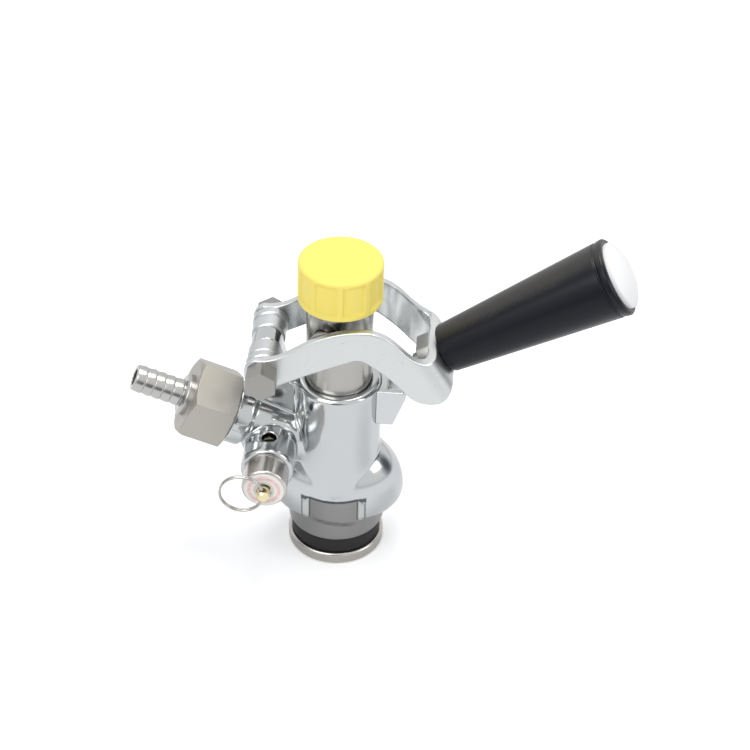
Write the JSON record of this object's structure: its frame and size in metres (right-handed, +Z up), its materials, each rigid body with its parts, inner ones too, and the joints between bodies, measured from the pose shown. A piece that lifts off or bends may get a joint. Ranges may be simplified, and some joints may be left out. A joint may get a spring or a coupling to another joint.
{
  "type": "keg coupler",
  "caption": "Lever-operated keg coupler with bayonet ears, a barbed gas inlet, a relief valve with a pull ring and a capped beer outlet.",
  "frame": {"origin": "on the beer tube's axis, at the bottom face of the retaining ring", "axes": "+Z up the beer tube, +X towards the lever's handle, -Y towards the relief valve's pull ring"},
  "size_m": [0.1862, 0.0641, 0.1451],
  "materials": {
    "chrome": "bright chrome plate on cast brass",
    "steel": "turned stainless steel, fine lines",
    "zinc": "matte zinc plate with faint scuffs",
    "bolt_steel": "plain hexagon steel",
    "spring_steel": "spring wire",
    "brass": "turned brass",
    "rubber": "black moulded rubber",
    "black_plastic": "black moulded plastic, soft gloss",
    "white_plastic": "white moulded plastic",
    "yellow_plastic": "yellow moulded plastic",
    "pale_plastic": "pale plastic ring with a faint pink band"
  },
  "bodies": {
    "coupler": {"main_casting": "chrome", "retaining_ring": "steel", "base_seal": "rubber", "barrel_orings": "rubber", "pivot_spacers": "zinc", "pivot_washers": "zinc", "catch_bracket": "zinc", "catch_screw": "steel", "gas_duckbill": "rubber", "tail_washer": "rubber", "relief_insert": "steel", "relief_label": "pale_plastic", "relief_spring": "spring_steel"},
    "beer_tube": {"beer_tube": "steel", "foot_seal": "rubber", "ball_cage": "steel"},
    "check_ball": {"check_ball": "white_plastic"},
    "liner": {"cap_liner": "rubber"},
    "dust_cap": {"dust_cap": "yellow_plastic"},
    "lever": {"lever_yoke": "zinc", "drive_pins": "bolt_steel", "pivot_bolt": "bolt_steel", "pivot_nut": "bolt_steel", "handle_guide": "steel", "guide_nut": "zinc", "handle_spring": "spring_steel"},
    "handle": {"handle_stud": "steel", "handle_grip": "black_plastic", "grip_end_plug": "white_plastic"},
    "hose_tail": {"hose_tail": "steel"},
    "union_nut": {"union_nut": "steel"},
    "relief_stem": {"relief_stem": "brass", "relief_seal": "rubber"},
    "pull_ring": {"pull_ring": "spring_steel"}
  },
  "joints": [
    {"name": "lever_turn", "type": "hinge", "parent": "coupler", "child": "lever", "pos_m": [-0.027, 0, 0.0921], "axis": [0, 1, 0], "range_deg": [0, 31.8]},
    {"name": "tube_drive", "type": "slide", "parent": "coupler", "child": "beer_tube", "axis": [0, 0, 1], "range_m": [-0.0145, 0.0005]},
    {"name": "ball_lift", "type": "slide", "parent": "beer_tube", "child": "check_ball", "axis": [0, 0, 1], "range_m": [0, 0.004]},
    {"name": "cap_lift", "type": "slide", "parent": "beer_tube", "child": "liner", "axis": [0, 0, 1], "range_m": [-0.0001, 0.00746]},
    {"name": "cap_turn", "type": "hinge", "parent": "liner", "child": "dust_cap", "pos_m": [0, 0, 0.125], "axis": [0, 0, 1], "range_deg": [0, 1440]},
    {"name": "handle_pull", "type": "slide", "parent": "lever", "child": "handle", "axis": [0.8499, 0, 0.527], "range_m": [0, 0.006], "stiffness_N_per_m": 1200, "springref_m": -0.004, "deforming": ["handle_spring"]},
    {"name": "tail_draw", "type": "slide", "parent": "coupler", "child": "hose_tail", "axis": [-0.9129, -0.0799, 0.4003], "range_m": [-0.0001, 0.00546]},
    {"name": "nut_turn", "type": "hinge", "parent": "hose_tail", "child": "union_nut", "pos_m": [-0.04929, -0.00431, 0.06642], "axis": [-0.9129, -0.0799, 0.4003], "range_deg": [0, 1080]},
    {"name": "relief_pull", "type": "slide", "parent": "coupler", "child": "relief_stem", "axis": [0, -1, 0], "range_m": [0, 0.003], "stiffness_N_per_m": 1500, "springref_m": -0.004, "deforming": ["relief_spring"]},
    {"name": "ring_swing", "type": "hinge", "parent": "relief_stem", "child": "pull_ring", "pos_m": [-0.02465, -0.03948, 0.05241], "axis": [0, 0, 1], "range_deg": [-8, 188]}
  ],
  "couplings": [
    {"joint": "tube_drive", "follows": "lever_turn", "m_per_rad": -0.024512},
    {"joint": "cap_lift", "follows": "cap_turn", "m_per_rad": 0.00028871},
    {"joint": "tail_draw", "follows": "nut_turn", "m_per_rad": 0.00028871}
  ]
}
